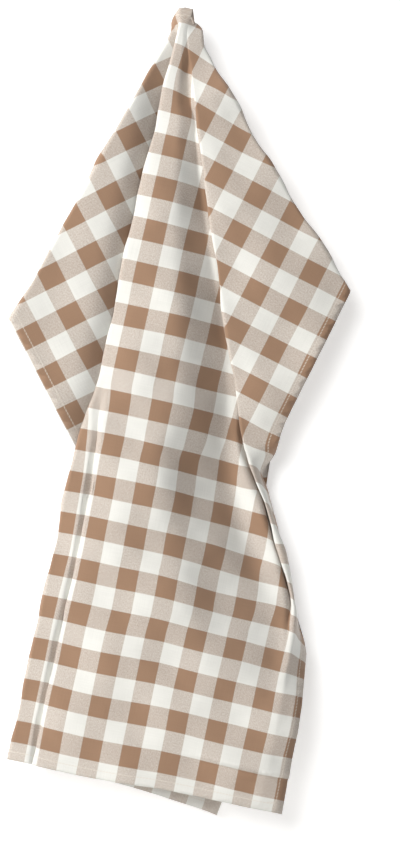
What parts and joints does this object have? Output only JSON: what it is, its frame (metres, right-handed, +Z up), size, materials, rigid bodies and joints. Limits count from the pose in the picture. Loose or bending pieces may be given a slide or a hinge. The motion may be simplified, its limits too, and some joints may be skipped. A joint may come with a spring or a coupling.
{
  "type": "hanging tea towel",
  "caption": "Brown and white checked cotton tea towel hanging in pleats from the middle of its short top hem.",
  "frame": {"origin": "the hanging point, at the middle of the towel's short top hem", "axes": "+Z up, -Y towards the viewer who faces the towel's front panel, +X to that viewer's right"},
  "size_m": [0.3074, 0.0716, 0.7245],
  "materials": {
    "woven_cotton": "matt plain weave, checked in brown, beige and white"
  },
  "bodies": {
    "root": {"towel_cloth": "woven_cotton"}
  },
  "joints": []
}
